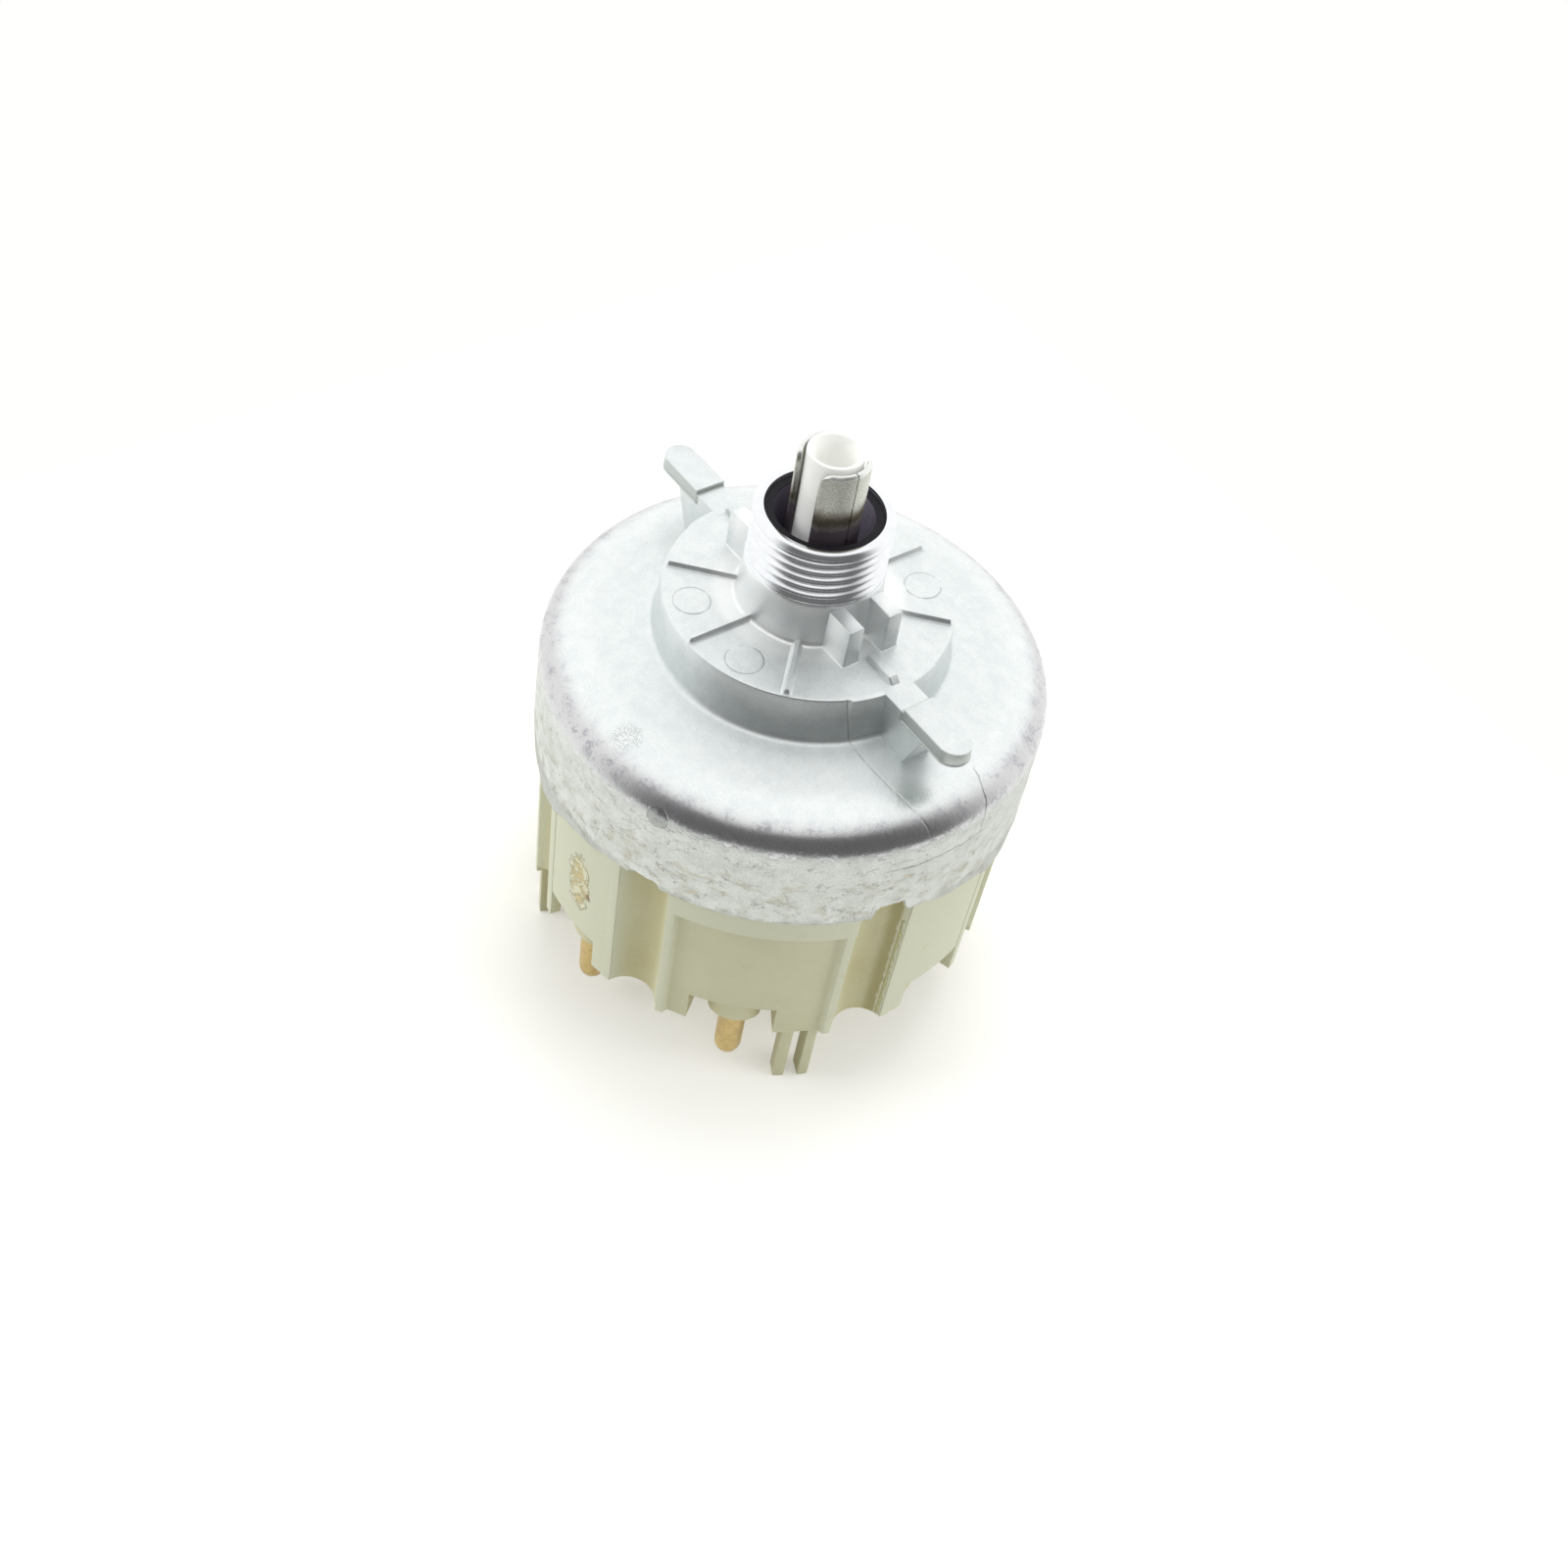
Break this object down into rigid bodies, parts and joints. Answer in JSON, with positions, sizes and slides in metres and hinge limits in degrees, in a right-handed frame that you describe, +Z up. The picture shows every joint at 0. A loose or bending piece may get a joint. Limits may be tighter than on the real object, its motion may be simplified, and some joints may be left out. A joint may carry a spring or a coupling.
{
  "type": "headlight switch",
  "caption": "Rotary and pull headlight switch: threaded neck, split lit shaft, cast housing with locking arms, moulded base with round terminal pins.",
  "frame": {"origin": "on the shaft's axis, at the feet of the base's legs", "axes": "+Z up the shaft towards the knob, the two locking arms along X"},
  "size_m": [0.0536, 0.0536, 0.0683],
  "materials": {
    "zinc_casting": "as-cast zinc alloy, satin, with a bright machined thread",
    "base_plastic": "satin moulded plastic, grey beige",
    "ring_plastic": "smooth moulded plastic",
    "washer_brass": "rolled sheet",
    "black_plastic": "smooth moulded plastic",
    "sleeve_steel": "rolled sheet, tarnished grey and brown",
    "guide_plastic": "milky white, translucent",
    "ivory_plastic": "smooth moulded plastic",
    "spring_steel": "drawn wire",
    "contact_brass": "stamped sheet",
    "pin_brass": "turned, lightly tarnished",
    "ball_steel": "polished",
    "bulb_glass": "clear"
  },
  "bodies": {
    "switch_body": {"housing": "zinc_casting", "contact_base": "base_plastic", "detent_ring": "ring_plastic", "thrust_washer": "washer_brass", "fog_contact_a": "contact_brass", "fog_contact_b": "contact_brass", "bulb_contact": "contact_brass", "bulb_holder": "black_plastic", "bulb": "bulb_glass", "contact_plate_1": "contact_brass", "contact_plate_2": "contact_brass", "contact_plate_3": "contact_brass", "contact_plate_4": "contact_brass", "contact_plate_5": "contact_brass", "terminal_pin_1": "pin_brass", "terminal_pin_2": "pin_brass", "terminal_pin_3": "pin_brass", "terminal_pin_4": "pin_brass", "terminal_pin_5": "pin_brass", "terminal_pin_6": "pin_brass", "terminal_pin_7": "pin_brass", "terminal_pin_8": "pin_brass"},
    "turning_body": {"rotor": "black_plastic", "detent_spring_a": "spring_steel", "detent_spring_b": "spring_steel", "contact_bridge_1": "contact_brass", "contact_bridge_2": "contact_brass", "contact_bridge_3": "contact_brass", "bridge_spring_1": "spring_steel", "bridge_spring_2": "spring_steel", "bridge_spring_3": "spring_steel"},
    "pull_shaft": {"shaft_sleeve": "sleeve_steel", "light_guide": "guide_plastic", "shaft_collar": "ivory_plastic", "pull_detent_ring": "spring_steel", "guide_clip": "spring_steel"},
    "fog_body": {"fog_slider": "ivory_plastic", "fog_bridge": "contact_brass"},
    "ball_a": {"detent_ball_a": "ball_steel"},
    "ball_b": {"detent_ball_b": "ball_steel"}
  },
  "joints": [
    {"name": "switch_turn", "type": "hinge", "parent": "switch_body", "child": "turning_body", "pos_m": [0, 0, 0.046], "axis": [0, 0, 1], "range_deg": [-70, 70]},
    {"name": "shaft_pull", "type": "slide", "parent": "turning_body", "child": "pull_shaft", "axis": [0, 0, 1], "range_m": [0, 0.008]},
    {"name": "fog_travel", "type": "slide", "parent": "switch_body", "child": "fog_body", "axis": [0, 0, 1], "range_m": [0, 0.008]},
    {"name": "ball_a_travel", "type": "slide", "parent": "turning_body", "child": "ball_a", "axis": [1, 0, 0], "range_m": [0, 0.00045], "stiffness_N_per_m": 200, "springref_m": 0.002, "deforming": ["detent_spring_a"]},
    {"name": "ball_b_travel", "type": "slide", "parent": "turning_body", "child": "ball_b", "axis": [-1, 0, 0], "range_m": [0, 0.00045], "stiffness_N_per_m": 200, "springref_m": 0.002, "deforming": ["detent_spring_b"]}
  ],
  "couplings": [
    {"joint": "fog_travel", "follows": "shaft_pull", "ratio": 1}
  ]
}
